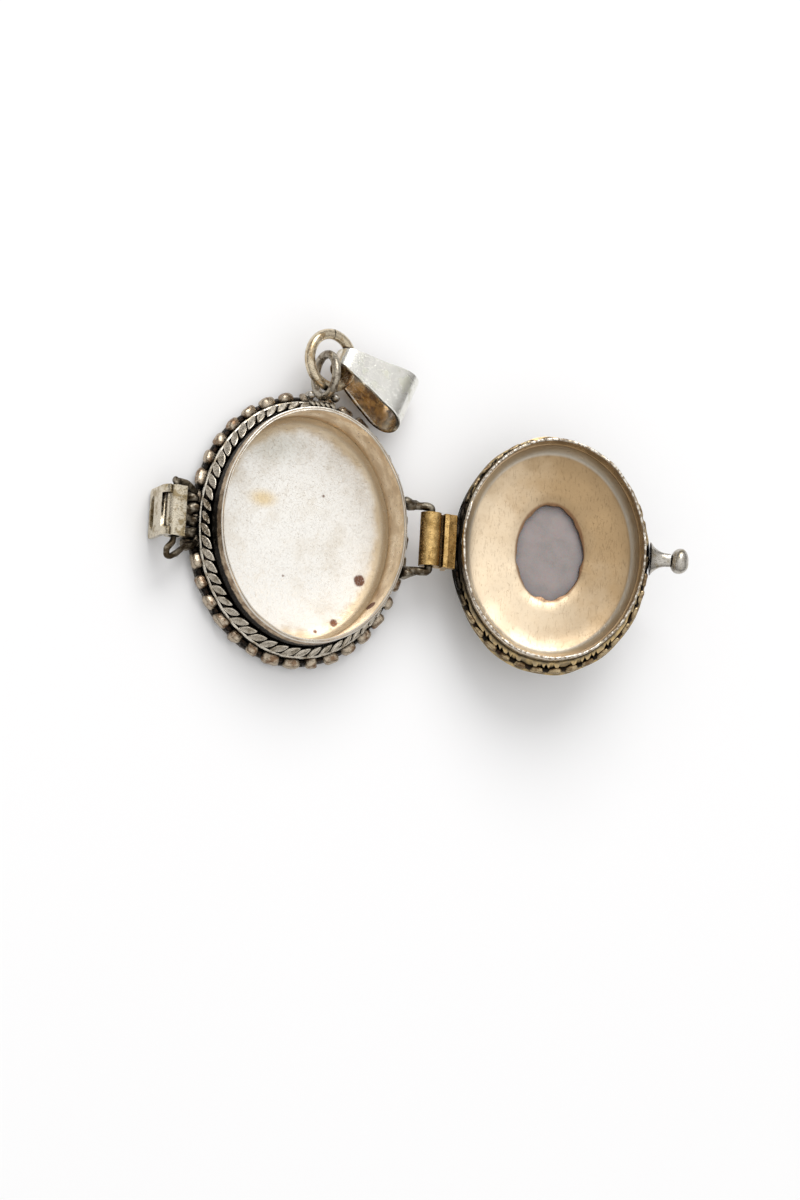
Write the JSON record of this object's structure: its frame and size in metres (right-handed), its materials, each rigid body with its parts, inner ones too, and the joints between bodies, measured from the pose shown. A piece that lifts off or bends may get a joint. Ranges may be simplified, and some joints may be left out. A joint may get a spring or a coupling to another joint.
{
  "type": "locket",
  "caption": "Oval hinged box locket lying open: wire-trimmed box, stone-set lid, staple hinge, slotted hasp over a ball stud, jump ring and folded bail.",
  "frame": {"origin": "middle of the box's flat back face, which lies on the table", "axes": "+Z out of the box's open mouth, +X from the clasp to the hinge, +Y towards the bail"},
  "size_m": [0.0543, 0.0336, 0.0106],
  "materials": {
    "bright_silver": "satin, finely scratched",
    "oxidised_silver": "blackened in the hollows, worn bright on the tops",
    "warm_silver": "golden tarnish over satin silver",
    "milky_stone": "polished, milky, slightly translucent"
  },
  "bodies": {
    "box": {"box_back_plate": "bright_silver", "box_wall": "bright_silver", "box_rope_wire": "oxidised_silver", "box_plain_wire": "oxidised_silver", "box_bead_row": "oxidised_silver", "hinge_staple": "oxidised_silver", "clasp_staple": "oxidised_silver", "bail_seat_wire": "oxidised_silver", "bail_loop": "bright_silver", "bail_granule_left": "bright_silver", "bail_granule_right": "bright_silver"},
    "lid": {"lid_plate": "warm_silver", "lid_bezel": "bright_silver", "lid_edge_wire": "oxidised_silver", "stone": "milky_stone", "stone_setting": "bright_silver", "stone_rope_wire": "oxidised_silver", "hinge_knuckle": "warm_silver", "stud_stem": "bright_silver", "stud_ball": "bright_silver"},
    "hasp": {"hasp_barrel": "bright_silver", "hasp_tongue": "bright_silver"},
    "ring": {"jump_ring": "warm_silver"},
    "bail": {"bail_strap": "bright_silver", "bail_solder": "oxidised_silver"}
  },
  "joints": [
    {"name": "lid_hinge", "type": "hinge", "parent": "box", "child": "lid", "pos_m": [0.0126, 0, 0.005], "axis": [0, -1, 0], "range_deg": [0, 167]},
    {"name": "hasp_hinge", "type": "hinge", "parent": "box", "child": "hasp", "pos_m": [-0.014, 0, 0.004], "axis": [0, 1, 0], "range_deg": [0, 200.8]},
    {"name": "ring_swing", "type": "hinge", "parent": "box", "child": "ring", "pos_m": [0.0007, 0.01462, 0.00423], "axis": [1, 0, 0], "range_deg": [0, 35]},
    {"name": "bail_swing", "type": "hinge", "parent": "ring", "child": "bail", "pos_m": [0.00347, 0.01589, 0.00333], "axis": [-0.4021, -0.9062, 0.131], "range_deg": [0, 40]}
  ]
}
